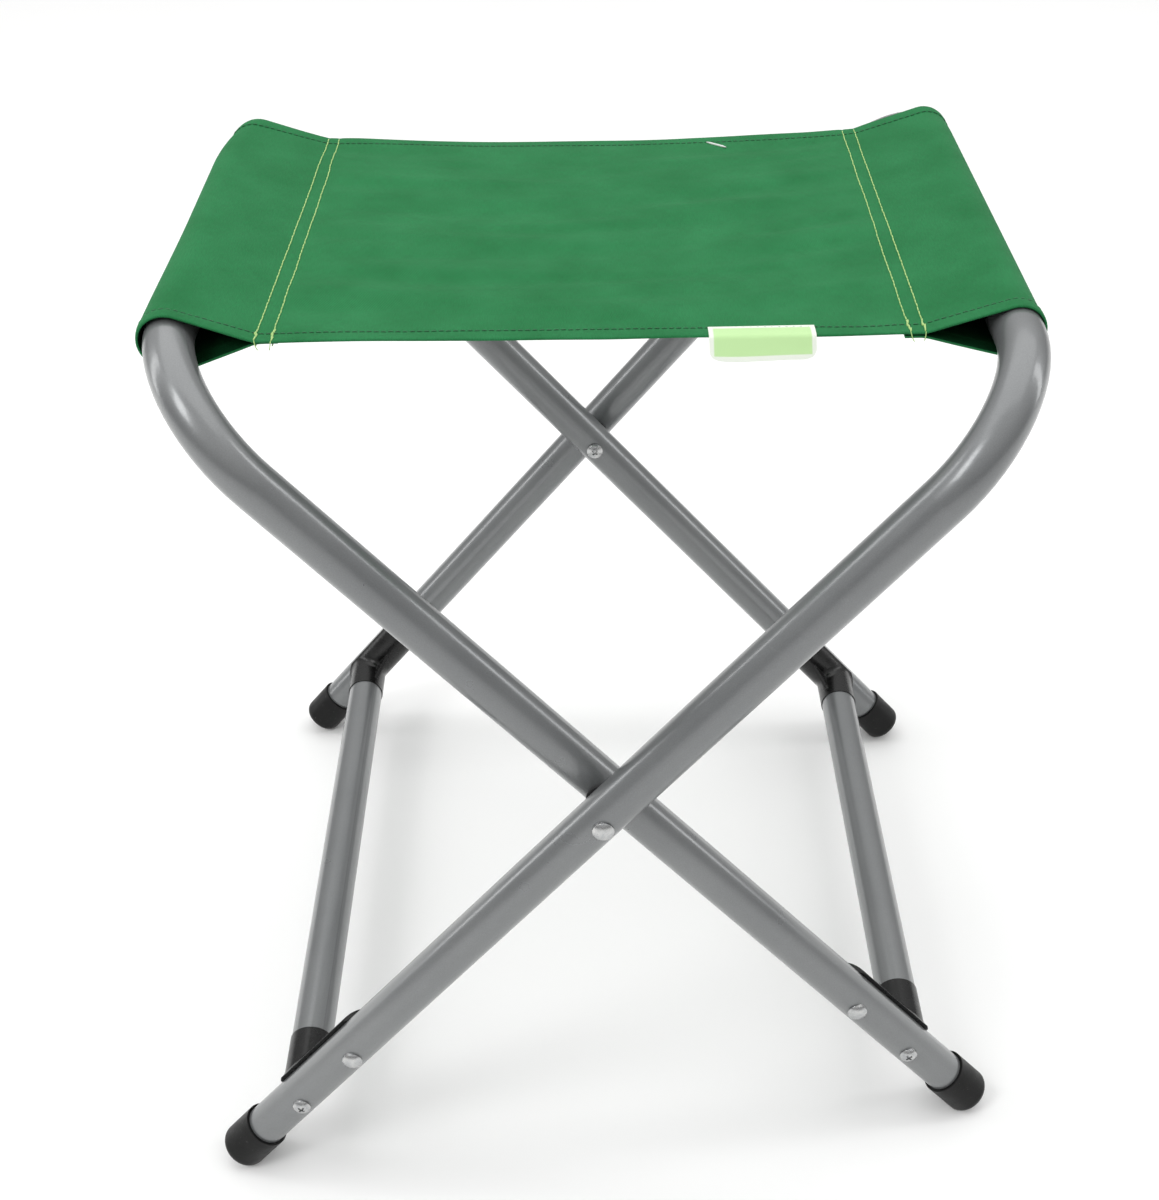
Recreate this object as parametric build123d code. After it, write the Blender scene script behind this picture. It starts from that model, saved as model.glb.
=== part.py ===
from build123d import *
import math
import os

# Folding stool with two crossing U-shaped tube frames and a sewn cloth seat.
# Millimetres. +X is to the right, +Y to the back, +Z up. The origin is on the
# floor, under the middle of the seat.

# Frame
TUBE_R = 11.0
TUBE_WALL = 1.2
LEG_SLOPE = 49.66            # degrees above the floor, open
PIVOT_HEIGHT = 242.2
PIVOT_TO_RAIL = 282.2        # along the leg, up to the axis of the seat rail
PIVOT_TO_TUBE_END = 306.6    # along the leg, down to the cut end inside the foot cap
OUTER_HALF_WIDTH = 185.6     # middle of the stool to the axis of an outer leg
LEG_GAP = 1.6                # between an outer and an inner leg where they cross
INNER_HALF_WIDTH = OUTER_HALF_WIDTH - 2 * TUBE_R - LEG_GAP
BEND_R = {"front": 58.6, "back": 90.0}     # axis of the bends between leg and seat rail

# Cross tubes and their moulded brackets
CROSS_BELOW_PIVOT = 249.8    # along the leg, down to the cross tube's axis
CROSS_TUBE_R = 11.1
CROSS_TUBE_INSET = 33.0      # from the leg's axis to the end of the cross tube
NECK_R = 11.6
SPIGOT_LENGTH = 24.0
SADDLE_R = 13.2
SADDLE_EDGE = 4.5            # the saddle stops this far inside the leg's axis
NECK_FILLET = 5.0
ELBOW_R = 8.0                # rounding of the elbow's outer corner
ELBOW_MARGIN = 0.5           # from the neck to the straight side of that corner
WEB_THICKNESS = 2.0
WEB_RUN = 26.0               # how far up the arm the web reaches
WEB_HEIGHT = 28.0            # where the web meets the neck, from the leg's axis

# Fasteners
RIVET_UP_ARM = 46.3          # from the neck's axis to the rivet, in the arm's round tip
RIVET_SHANK_R = 2.4
RIVET_HEAD_R = 5.1
RIVET_TAIL_R = 3.7
RIVET_TAIL_HEIGHT = 1.5
RIVET_SPOT_R = 4.7           # flat spot on the bracket, round the rivet's tail
RIVET_SEAT = 12.3            # flat spot under the rivet's tail, from the leg's axis
SCREW_SHANK_R = 2.1
SCREW_HEAD_R = 4.7
SCREW_DEPTH = 48.0           # tip of the cross tube screw, from the leg's axis
HEAD_HEIGHT = 2.6
HEAD_RIM = 0.3               # share of a head's height that is its straight rim
HEAD_SINK = 0.3              # trimmed off where the head meets the tube
BARREL_R = 3.0
BARREL_HEAD_R = 5.2
BARREL_CLEARANCE = 0.05      # radial, in the holes of the inner frame
PIVOT_SCREW_SHANK_R = 1.9
PIVOT_SCREW_HEAD_R = 4.9
PIVOT_END_GAP = 0.3          # between the inner leg and the pivot screw's head
WASHER_R = 8.0
WASHER_THICKNESS = 1.2
RECESS_WIDTH = 1.1
RECESS_SPAN = 0.42           # share of the head's width
RECESS_DEPTH = 1.4

# Foot caps
CAP_R = 12.5
CAP_MOUTH = 285.9            # from the pivot, along the leg
CAP_END = 311.2
CAP_FILLET = 4.6

# Seat
CLOTH = 1.2
SEAT_HALF_DEPTH = 121.0
SEAM_X = 143.0               # middle of the seat to the outer row of stitching
SEAM_GAP = 0.4               # between a sleeve's tip and the edge of the panel
SEAT_SAG = 4.0
SLEEVE_CLEARANCE = 0.5
SLEEVE_SLACK = 1.0           # least slack down the leg
SLEEVE_TIP_R = 0.8
SLEEVE_SEWN = 3.0            # sewn shut for this far from its tip
HOLLOW_TIP_R = 0.2

# Blank side tag on the front hem
TAG_X = (50.0, 96.0)
TAG_THICKNESS = 0.6
TAG_ON_HEM = 8.5
TAG_BELOW_HEM = 11.5
TAG_OFF_CLOTH = 0.1
TAG_PAST_HEM = 0.4           # from the hem to the tag's fold
TAG_DROOP = 50.0             # degrees below level, past the hem

COS = math.cos(math.radians(LEG_SLOPE))
SIN = math.sin(math.radians(LEG_SLOPE))
RAIL_X = PIVOT_TO_RAIL * COS
RAIL_Z = PIVOT_HEIGHT + PIVOT_TO_RAIL * SIN
LEG_STEP = OUTER_HALF_WIDTH - INNER_HALF_WIDTH
INNER_CREST = LEG_STEP + TUBE_R      # far side of the inner leg, from the outer leg's axis
THROUGH = 6 * TUBE_R         # long enough to cut right through
OVERLAP = 1.0                # by which joined shapes run into each other
SHANK_IN_HEAD = 0.5
TOUCH = 0.01

# lean is 1 for the outer frame, which rises to the right, and -1 for the inner frame.
# side is -1 at the front and 1 at the back.
FRAMES = {"outer": 1, "inner": -1}
SIDES = {"front": -1, "back": 1}
FOOT_END = {"outer": "left", "inner": "right"}
HALF_WIDTH = {"outer": OUTER_HALF_WIDTH, "inner": INNER_HALF_WIDTH}


def leg_plane(frame, side, below_pivot):
    """A plane on a leg's axis: x up the leg, z inwards, across the stool."""
    lean = FRAMES[frame]
    origin = (
        -lean * below_pivot * COS,
        side * HALF_WIDTH[frame],
        PIVOT_HEIGHT - below_pivot * SIN,
    )
    return Plane(origin=origin, x_dir=(lean * COS, 0, SIN), z_dir=(0, -side, 0))


def along_leg(radius, start, end):
    """A cylinder on the leg's axis, in the leg plane's coordinates."""
    length = end - start
    return Pos((start + end) / 2, 0, 0) * Rot(0, 90, 0) * Cylinder(radius, length)


def inwards(radius, start, end):
    """A cylinder across the leg, from start to end inwards of its axis."""
    return Pos(0, 0, (start + end) / 2) * Cylinder(radius, end - start)


def frame_tube(frame):
    """One U-shaped tube: leg, bend, seat rail, bend, leg."""
    lean = FRAMES[frame]
    half = HALF_WIDTH[frame]
    end_x = -lean * PIVOT_TO_TUBE_END * COS
    end_z = PIVOT_HEIGHT - PIVOT_TO_TUBE_END * SIN
    path = FilletPolyline(
        (end_x, -half, end_z),
        (lean * RAIL_X, -half, RAIL_Z),
        (lean * RAIL_X, half, RAIL_Z),
        (end_x, half, end_z),
        radius=(BEND_R["front"], BEND_R["back"]),
    )
    start = Plane(origin=path @ 0, z_dir=path % 0)
    ring = start * (Circle(TUBE_R) - Circle(TUBE_R - TUBE_WALL))
    tube = sweep(ring, path=path)
    pivot_hole_r = BARREL_R if frame == "outer" else BARREL_R + BARREL_CLEARANCE
    for side in SIDES.values():
        holes = (
            (0, pivot_hole_r),
            (CROSS_BELOW_PIVOT, SCREW_SHANK_R),
            (CROSS_BELOW_PIVOT - RIVET_UP_ARM, RIVET_SHANK_R),
        )
        for below_pivot, radius in holes:
            plane = leg_plane(frame, side, below_pivot)
            tube -= plane * Cylinder(radius, 3 * TUBE_R)
    return tube


def cross_tube(frame):
    """The tube that joins the two legs of one frame, low down."""
    lean = FRAMES[frame]
    length = 2 * (HALF_WIDTH[frame] - CROSS_TUBE_INSET)
    x = -lean * CROSS_BELOW_PIVOT * COS
    z = PIVOT_HEIGHT - CROSS_BELOW_PIVOT * SIN
    tube = Cylinder(CROSS_TUBE_R, length) - Cylinder(CROSS_TUBE_R - TUBE_WALL, length)
    return Pos(x, 0, z) * Rot(90, 0, 0) * tube


def cross_bracket():
    """Moulded elbow between a leg and the cross tube, in the leg plane's coordinates."""
    outline = Pos(RIVET_UP_ARM / 2, 0) * SlotCenterToCenter(RIVET_UP_ARM, 2 * SADDLE_R)
    block = extrude(Pos(0, 0, SADDLE_EDGE) * outline, SADDLE_R)
    saddle = block & along_leg(SADDLE_R, -THROUGH, 2 * THROUGH)
    neck = inwards(NECK_R, SADDLE_EDGE, CROSS_TUBE_INSET)
    body = saddle + neck
    body = fillet(body.edges().filter_by(on_neck), NECK_FILLET)
    body &= elbow_corner()
    web = Polyline(
        (0, SADDLE_EDGE),
        (WEB_RUN, SADDLE_EDGE),
        (WEB_RUN, TUBE_R),
        (NECK_R - OVERLAP, WEB_HEIGHT),
        (0, WEB_HEIGHT),
        close=True,
    )
    body += extrude(Plane.XZ * make_face(web), WEB_THICKNESS / 2, both=True)
    spigot_r = CROSS_TUBE_R - TUBE_WALL
    body += inwards(spigot_r, CROSS_TUBE_INSET - OVERLAP, CROSS_TUBE_INSET + SPIGOT_LENGTH)
    body -= along_leg(TUBE_R, -THROUGH, 2 * THROUGH)
    body -= inwards(SCREW_SHANK_R, 0, SCREW_DEPTH)
    rivet = Pos(RIVET_UP_ARM, 0, 0)
    body -= rivet * inwards(RIVET_SHANK_R, 0, 2 * SADDLE_R)
    body -= rivet * inwards(RIVET_SPOT_R, RIVET_SEAT, 2 * SADDLE_R)
    return body


def elbow_corner():
    """Everything inside the elbow's rounded outer corner, in the leg plane's coordinates."""
    size = 2 * THROUGH
    middle = Pos(size / 2 - NECK_R - ELBOW_MARGIN, size / 2 + SADDLE_EDGE)
    side_view = Plane.XZ * middle * RectangleRounded(size, size, ELBOW_R)
    return extrude(side_view, THROUGH, both=True)


def on_neck(edge):
    """True for the curved edges where the neck meets the saddle."""
    points = [edge @ t for t in (0, 0.25, 0.5, 0.75, 1)]
    near = [abs(math.hypot(p.X, p.Y) - NECK_R) < TOUCH for p in points]
    between = [SADDLE_EDGE + OVERLAP < p.Z < CROSS_TUBE_INSET - OVERLAP for p in points]
    rise = max(p.Z for p in points) - min(p.Z for p in points)
    return all(near) and all(between) and rise > TOUCH


def domed_head(radius, height, sink):
    """A round head pointing up: a short rim, a spherical top, and its foot below the crest."""
    rim = height * HEAD_RIM
    rise = height - rim
    dome_r = (radius**2 + rise**2) / (2 * rise)
    half_angle = math.asin(radius / dome_r) / 2
    shoulder = (dome_r * math.sin(half_angle), height - dome_r * (1 - math.cos(half_angle)))
    profile = make_face(
        Line((0, -sink), (radius, -sink))
        + Line((radius, -sink), (radius, rim))
        + ThreePointArc((radius, rim), shoulder, (0, height))
        + Line((0, height), (0, -sink))
    )
    return revolve(Plane.XZ * profile, Axis.Z)


def cross_recess(radius):
    """A cross recess for a driver, at the origin and pointing down."""
    slot = Box(2 * radius * RECESS_SPAN, RECESS_WIDTH, 2 * RECESS_DEPTH)
    return slot + Rot(0, 0, 90) * slot


def outside_head(radius, height):
    """A head on the outer side of a leg, whose underside follows the tube."""
    sink = TUBE_R - math.sqrt(TUBE_R**2 - radius**2) + HEAD_SINK
    head = Pos(0, 0, -TUBE_R) * Rot(180, 0, 0) * domed_head(radius, height, sink)
    return head - along_leg(TUBE_R, -THROUGH, THROUGH)


def cross_tube_screw():
    """Long screw from the outer side of the leg into the bracket's neck."""
    screw = outside_head(SCREW_HEAD_R, HEAD_HEIGHT)
    screw += inwards(SCREW_SHANK_R, -TUBE_R - SHANK_IN_HEAD, SCREW_DEPTH)
    return screw - Pos(0, 0, -TUBE_R - HEAD_HEIGHT) * cross_recess(SCREW_HEAD_R)


def bracket_rivet():
    """Domed rivet through the leg and the bracket's arm."""
    rivet = outside_head(RIVET_HEAD_R, HEAD_HEIGHT)
    rivet += inwards(RIVET_SHANK_R, -TUBE_R - SHANK_IN_HEAD, RIVET_SEAT)
    tail = Pos(0, 0, RIVET_SEAT) * domed_head(RIVET_TAIL_R, RIVET_TAIL_HEIGHT, 0)
    return rivet + tail


def pivot_barrel_nut():
    """Domed head outside the outer leg, with a barrel through both legs."""
    end = INNER_CREST + PIVOT_END_GAP
    nut = outside_head(BARREL_HEAD_R, HEAD_HEIGHT)
    nut += inwards(BARREL_R, -TUBE_R - SHANK_IN_HEAD, end)
    return nut - inwards(PIVOT_SCREW_SHANK_R, LEG_STEP - TUBE_R, end)


def pivot_screw():
    """Cross-recessed screw that closes the barrel on the inner side."""
    seat = INNER_CREST + PIVOT_END_GAP
    screw = Pos(0, 0, seat) * domed_head(PIVOT_SCREW_HEAD_R, HEAD_HEIGHT, 0)
    screw += inwards(PIVOT_SCREW_SHANK_R, LEG_STEP - TUBE_R, seat + SHANK_IN_HEAD)
    return screw - Pos(0, 0, seat + HEAD_HEIGHT) * cross_recess(PIVOT_SCREW_HEAD_R)


def pivot_washer():
    """Flat plastic washer between the crossing legs."""
    return inwards(WASHER_R, TUBE_R, TUBE_R + WASHER_THICKNESS) - inwards(BARREL_R, 0, THROUGH)


def foot_cap():
    """Rounded cup on a leg's end, before its foot is cut level."""
    cap = along_leg(CAP_R, -CAP_END, -CAP_MOUTH)
    cap = fillet(cap.edges().sort_by(Axis.X)[0], CAP_FILLET)
    return cap - along_leg(TUBE_R, -PIVOT_TO_TUBE_END, 0)


def floor_level(solid):
    """Cuts a placed foot cap level with the floor."""
    wide = 4 * OUTER_HALF_WIDTH
    below = Pos(0, 0, -THROUGH) * Box(wide, wide, 2 * THROUGH)
    return solid - below


def teardrop(radius, tip_x, tip_r, slack):
    """Outline round the seat rail that closes at the seam, with slack down the leg."""
    rail = Pos(RAIL_X, RAIL_Z) * Circle(radius)
    rail_in_bend = Pos(RAIL_X - slack * COS, RAIL_Z - slack * SIN) * Circle(radius)
    tip = Pos(tip_x, RAIL_Z) * Circle(tip_r)
    return make_hull([circle.edge() for circle in (rail, rail_in_bend, tip)])


def sleeve_solid(radius, tip_x, tip_r, stations):
    """A teardrop tube through (y, slack) stations from front to back."""
    sections = []
    for y, slack in stations:
        plane = Plane(origin=(0, y, 0), x_dir=(1, 0, 0), z_dir=(0, -1, 0))
        sections.append(plane * teardrop(radius, tip_x, tip_r, slack))
    return loft(sections, ruled=True)


def seat_sleeve(side):
    """Teardrop loop of cloth round one seat rail, closed at the seam and wider at the back."""
    frame = "outer" if side > 0 else "inner"
    inside = TUBE_R + SLEEVE_CLEARANCE
    back_bend = HALF_WIDTH[frame] - BEND_R["back"]
    stations = (
        (-SEAT_HALF_DEPTH, bend_offset(frame, "front")),
        (back_bend, bend_offset(frame, "front")),
        (SEAT_HALF_DEPTH, bend_offset(frame, "back")),
    )
    outer = sleeve_solid(inside + CLOTH, SEAM_X, SLEEVE_TIP_R, stations)
    hollow = sleeve_solid(inside, SEAM_X + SLEEVE_SEWN, HOLLOW_TIP_R, stations)
    sleeve = outer - hollow
    return sleeve if side > 0 else mirror(sleeve, Plane.YZ)


def bend_offset(frame, place):
    """How far the bend's inner side is below the rail's at one end of the seat, down the leg."""
    past = max(0, SEAT_HALF_DEPTH - (HALF_WIDTH[frame] - BEND_R[place]))
    radius = BEND_R[place] - TUBE_R
    return max(SLEEVE_SLACK, radius - math.sqrt(radius**2 - past**2))


def seat_panel():
    """The flat of the seat, with a slight sag."""
    edge = SEAM_X - SLEEVE_TIP_R - SEAM_GAP
    top = RAIL_Z + CLOTH / 2
    low = RAIL_Z - CLOTH / 2
    profile = make_face(
        ThreePointArc((-edge, top), (0, top - SEAT_SAG), (edge, top))
        + Line((edge, top), (edge, low))
        + ThreePointArc((edge, low), (0, low - SEAT_SAG), (-edge, low))
        + Line((-edge, low), (-edge, top))
    )
    return extrude(Plane.XZ * profile, SEAT_HALF_DEPTH, both=True)


def seat_tag():
    """Blank tag that lies on the front hem and droops past it."""
    middle = sum(TAG_X) / 2
    edge = SEAM_X - SLEEVE_TIP_R - SEAM_GAP
    sag_radius = (edge**2 + SEAT_SAG**2) / (2 * SEAT_SAG)
    centre = RAIL_Z + CLOTH / 2 - SEAT_SAG + sag_radius
    hem_top = centre - math.sqrt(sag_radius**2 - TAG_X[1] ** 2) + TAG_OFF_CLOTH
    fall = math.radians(TAG_DROOP)
    front = -SEAT_HALF_DEPTH - TAG_PAST_HEM
    line = Polyline(
        (front + TAG_ON_HEM, hem_top),
        (front, hem_top),
        (front - TAG_BELOW_HEM * math.cos(fall), hem_top - TAG_BELOW_HEM * math.sin(fall)),
    )
    strip = make_face(
        line
        + Line(line @ 0, line @ 0 + Vector(0, TAG_THICKNESS))
        + Line(line @ 1, line @ 1 + Vector(0, TAG_THICKNESS))
        + Pos(0, TAG_THICKNESS) * line
    )
    half = (TAG_X[1] - TAG_X[0]) / 2
    return Pos(middle, 0, 0) * extrude(Plane.YZ * strip, half, both=True)


def build():
    """Every sub-part, by node name."""
    parts = {}
    for frame in FRAMES:
        parts[f"{frame}_frame_tube"] = frame_tube(frame)
        foot = FOOT_END[frame]
        parts[f"cross_tube_{foot}"] = cross_tube(frame)
        for place, side in SIDES.items():
            where = f"{foot}_{place}"
            pivot = leg_plane(frame, side, 0)
            cross = leg_plane(frame, side, CROSS_BELOW_PIVOT)
            rivet = leg_plane(frame, side, CROSS_BELOW_PIVOT - RIVET_UP_ARM)
            parts[f"bracket_{where}"] = cross * cross_bracket()
            parts[f"cross_tube_screw_{where}"] = cross * cross_tube_screw()
            parts[f"bracket_rivet_{where}"] = rivet * bracket_rivet()
            parts[f"foot_cap_{where}"] = floor_level(pivot * foot_cap())
    for place, side in SIDES.items():
        pivot = leg_plane("outer", side, 0)
        parts[f"pivot_barrel_nut_{place}"] = pivot * pivot_barrel_nut()
        parts[f"pivot_screw_{place}"] = pivot * pivot_screw()
        parts[f"pivot_washer_{place}"] = pivot * pivot_washer()
    parts["seat_panel"] = seat_panel()
    parts["seat_sleeve_left"] = seat_sleeve(-1)
    parts["seat_sleeve_right"] = seat_sleeve(1)
    parts["seat_tag"] = seat_tag()
    return parts


os.makedirs("parts", exist_ok=True)
for name, shape in build().items():
    export_step(shape, f"parts/{name}.step")
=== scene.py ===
import math

import bpy
from mathutils import Euler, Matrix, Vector, noise


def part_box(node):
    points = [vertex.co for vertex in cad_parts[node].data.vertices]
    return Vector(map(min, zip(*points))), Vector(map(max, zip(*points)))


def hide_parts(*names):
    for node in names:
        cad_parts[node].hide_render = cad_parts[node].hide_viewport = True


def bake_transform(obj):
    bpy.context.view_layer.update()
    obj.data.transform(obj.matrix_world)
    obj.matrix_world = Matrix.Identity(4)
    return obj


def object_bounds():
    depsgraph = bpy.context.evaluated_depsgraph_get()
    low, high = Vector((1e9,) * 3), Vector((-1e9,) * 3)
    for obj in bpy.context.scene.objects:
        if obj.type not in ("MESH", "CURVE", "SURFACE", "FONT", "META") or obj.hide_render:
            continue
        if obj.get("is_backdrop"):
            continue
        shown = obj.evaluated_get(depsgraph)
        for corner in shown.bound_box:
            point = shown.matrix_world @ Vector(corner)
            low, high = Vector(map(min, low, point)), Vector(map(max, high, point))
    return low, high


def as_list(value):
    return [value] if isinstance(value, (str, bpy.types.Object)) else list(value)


# Looks of the folding stool: the sewn seat, its stitching, the blank tag, every
# material, the light and the camera. Metres, in the CAD model's own frame.
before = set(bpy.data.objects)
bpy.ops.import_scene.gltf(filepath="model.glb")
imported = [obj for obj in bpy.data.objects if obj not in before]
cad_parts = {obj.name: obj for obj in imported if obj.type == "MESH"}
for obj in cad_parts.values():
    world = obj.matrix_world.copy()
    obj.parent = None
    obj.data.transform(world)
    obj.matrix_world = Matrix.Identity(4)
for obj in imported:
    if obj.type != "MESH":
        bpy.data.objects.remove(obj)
cad_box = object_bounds()
MM = 0.001

# The frame, in millimetres. A side is -1 for the left or the front, 1 for the right or the back.
OUTER_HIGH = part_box("outer_frame_tube")[1]
INNER_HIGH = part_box("inner_frame_tube")[1]
TAG_LOW, TAG_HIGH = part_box("seat_tag")
TUBE_R = 11.0
BEND_R = {-1: 58.6, 1: 90.0}  # the bends at the front and at the back
LEG_SLOPE = math.radians(49.66)
RAIL_X = OUTER_HIGH[0] / MM - TUBE_R
RAIL_Z = OUTER_HIGH[2] / MM - TUBE_R
# How far out the legs are below each rail: the left rail belongs to the inner frame.
LEG_Y = {-1: INNER_HIGH[1] / MM - TUBE_R, 1: OUTER_HIGH[1] / MM - TUBE_R}

# The cloth, in millimetres
HALF_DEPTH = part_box("seat_panel")[1][1] / MM
CLOTH = 0.7
FRONT_SAG = 0.4
BACK_SAG = 4.0
SPLIT_X = 146.0  # where the sleeves meet the panel, just past the stitching
TUBE_GAP = 0.25
LAYER_GAP = 0.2
HEM = 7.6  # from the edge to the hem's stitching
HEM_EXTRA = 0.6  # the folded layer under the hem
HEM_RAMP = 1.2  # the step from the hem to the single cloth
EDGE_ROUNDING = 0.9
FLAP = 2.3  # raw edge past the inner row of stitching
SEAM_SOFTNESS = 1.1  # how gradually the layers part at the seam
SEAM_GROOVE = 0.24
PUCKER = 0.2
HEM_SWELL = 0.16
HEM_GROOVE = 0.26
RIPPLE = 2.5
FINE_RIPPLE = 0.6
SLEEVE_RIPPLE = 0.3
LOOSE_SWELL = 1.5  # the left sleeve's slack at the front
RIPPLE_FADE = 24.0  # from SPLIT_X to the panel's full ripples
EDGE_WAVE = 0.5
# Each side's outer and inner row of stitching: x at the front and at the back.
ROWS = {
    -1: ((144.6, 139.3), (137.5, 133.2)),
    1: ((143.0, 143.9), (136.3, 137.7)),
}
ROW_WANDER = 0.35
KINK = 0.5  # a jog in the left inner row, near the back
KINK_Y = 74.0

# How far the front hem's line sits from straight, backwards
HEM_LEAN = 2.3  # backwards at the left seam and forwards at the right one
HEM_FORWARD = 0.4
CORNER_BACK = 2.7  # more at the end of the left sleeve
CORNER_WIDTH = 52.0
SEAM_X = 143.0
EDGE_REACH = 34.0  # how far in from the hems their shift dies out

# Where the tube bends away, the cloth's upper half stays behind and bulges.
BULGE_IN = 0.7
BULGE_DOWN = 0.1
BULGE_SWELL = 0.08

# Points along one section of a sleeve and its flap
STRAND_STEPS = 9
TOP_STEPS = 20
LOW_STEPS = 12
FLAP_STEPS = 12

# Reaches for blending the cloth between the two frames, set so that every weight is 0.078 where the
# sleeves meet the panel. BLENDS lists them; this script does not apply the blend.
SHARE = 0.1716
PANEL_REACH = SPLIT_X / (1 - 2 * SHARE)
SLEEVE_START = 171.0
SLEEVE_END = SLEEVE_START - (SLEEVE_START - SPLIT_X) / SHARE


def smooth(t):
    t = min(1.0, max(0.0, t))
    return t * t * (3 - 2 * t)


def near(value, centre, width):
    """1 at the centre, falling to 0 over the width on both sides."""
    return math.exp(-(((value - centre) / width) ** 2))


def row_x(side, row, y):
    """Distance from the middle of the seat to a row of stitching, with its small wander."""
    front, back = ROWS[side][row]
    t = (y + HALF_DEPTH) / (2 * HALF_DEPTH)
    wander = ROW_WANDER * noise.noise(Vector((y / 31, 7.3 * row, 2.1 * side)))
    kink = KINK * smooth((y - KINK_Y) / 5) if (side, row) == (-1, 1) else 0
    return front + (back - front) * t + wander + kink


def rail_drop(side, y, inner):
    """How far the tube under a sleeve has left the rail's line at y, down its leg.

    inner is 1 for the inner side of the bend and 0 for the tube's axis."""
    radius = BEND_R[1 if y > 0 else -1]
    past = max(0.0, abs(y) - (LEG_Y[side] - radius))
    radius -= inner * TUBE_R
    return radius - math.sqrt(radius**2 - past**2)


def sag_at(x, seam, y):
    """The seat's sag, which grows from the front to the back."""
    deepest = FRONT_SAG + (BACK_SAG - FRONT_SAG) * (y + HALF_DEPTH) / (2 * HALF_DEPTH)
    return deepest * (1 - min(1.0, (x / seam) ** 2))


def hem_share(y):
    """1 in the folded hems at the front and back, 0 elsewhere."""
    return smooth((abs(y) - (HALF_DEPTH - HEM - HEM_RAMP / 2)) / HEM_RAMP)


def panel_wrinkle(x, y):
    """Low ripples that run across the seat and fan out a little to the right."""
    bow = y - (0.0011 if x > 0 else 0.0005) * x * x
    broad = RIPPLE * noise.noise(Vector((x / 105, bow / 17, 3.7)))
    fine = FINE_RIPPLE * noise.noise(Vector((x / 46, bow / 8, 11.2)))
    edge = 1 - 0.6 * smooth((abs(y) - 95) / 26)
    return edge * (broad + fine)


def sleeve_wrinkle(side, along, y):
    """Short ripples on a sleeve, mostly next to the seam, and the left one's slack."""
    pull = noise.noise(Vector((along / 40, y / 9, 5.5 * side)))
    loose = LOOSE_SWELL * smooth(-y / 110) * near(along, 58, 15) if side < 0 else 0.0
    return SLEEVE_RIPPLE * pull * near(along, 4, 22) + loose


def seam_relief(side, x, y):
    """Grooves under the two rows of stitching and the puckers beside them."""
    outer = row_x(side, 0, y)
    inner = row_x(side, 1, y)
    groove = SEAM_GROOVE * (near(x, outer, 0.9) + near(x, inner, 0.9))
    pucker = noise.noise(Vector((y / 5.5, x / 9, 8.0 + side)))
    beside = near(x, outer, 3.5) + near(x, inner, 4.5)
    return PUCKER * pucker * beside - groove


def hem_relief(y):
    """The hem's slight swell and the groove under its stitching."""
    swell = HEM_SWELL * near(abs(y), HALF_DEPTH - 3.4, 2.6)
    return swell - HEM_GROOVE * near(abs(y), HALF_DEPTH - HEM, 0.8)


def edge_line(x, y):
    """How far a hem's end moves along y: it waves, and the front one sits back at the left."""
    wave = EDGE_WAVE * noise.noise(Vector((x / 38, 4.0 * (y > 0), 1.7)))
    back = 0.0
    if y < 0:
        corner = min(1.0, max(0.0, (-x - SEAM_X) / CORNER_WIDTH))
        lean = max(-1.0, min(1.0, x / SEAM_X))
        back = CORNER_BACK * corner - HEM_FORWARD - HEM_LEAN * lean
    reach = smooth((abs(y) - HALF_DEPTH + EDGE_REACH) / EDGE_REACH)
    return (wave + back) * reach


def past_seam(x, seam):
    """How far x is past the seam: 0 before it, with a soft turn at the seam itself."""
    return SEAM_SOFTNESS * math.log1p(math.exp((x - seam) / SEAM_SOFTNESS))


def top_height(x, y):
    """The middle of the seat's upper layer, from one sleeve's strand to the other's."""
    side = 1 if x > 0 else -1
    seam = row_x(side, 0, y)
    sag = sag_at(x, seam, y)
    rise = strand_slope(side, y, 1) * past_seam(abs(x), seam)
    return RAIL_Z + (CLOTH + LAYER_GAP) / 2 - sag + rise


def turn_circle(side, y, up):
    """Circle the cloth's middle follows round the tube, as (distance out, height, radius).

    up is 1 for the loop's upper half and -1 for its lower half, which goes down the leg
    with the tube where it bends."""
    radius = TUBE_R + TUBE_GAP + CLOTH / 2 + HEM_EXTRA * hem_share(y)
    if up > 0:
        drop = rail_drop(side, y, 0)
        inwards, down = BULGE_IN, BULGE_DOWN
        radius += BULGE_SWELL * drop
    else:
        drop = rail_drop(side, y, 1)
        inwards, down = 1.0, 1.0
    across = RAIL_X - inwards * drop * math.cos(LEG_SLOPE)
    return across, RAIL_Z - down * drop * math.sin(LEG_SLOPE), radius


def tangent_angle(side, y, up):
    """Where a strand from the seam leaves the turn, as an angle from straight out."""
    cx, cz, radius = turn_circle(side, y, up)
    sx = row_x(side, 0, y)
    sz = RAIL_Z + up * (CLOTH + LAYER_GAP) / 2
    reach = math.hypot(cx - sx, cz - sz)
    lean = math.atan2(sz - cz, cx - sx)
    return math.pi - up * lean - math.acos(radius / reach)


def shared_angle(top, low):
    """Where one straight line touches both of the turn's circles on their outer side."""
    apart = math.hypot(low[0] - top[0], low[1] - top[1])
    if apart < 0.001:
        return -0.7
    towards = math.atan2(low[1] - top[1], low[0] - top[0])
    return towards + math.acos(min(1.0, (top[2] - low[2]) / apart))


def strand_slope(side, y, up):
    """How steeply a strand parts from the seam's height, per millimetre outwards."""
    return math.tan(tangent_angle(side, y, up) - math.pi / 2)


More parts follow.
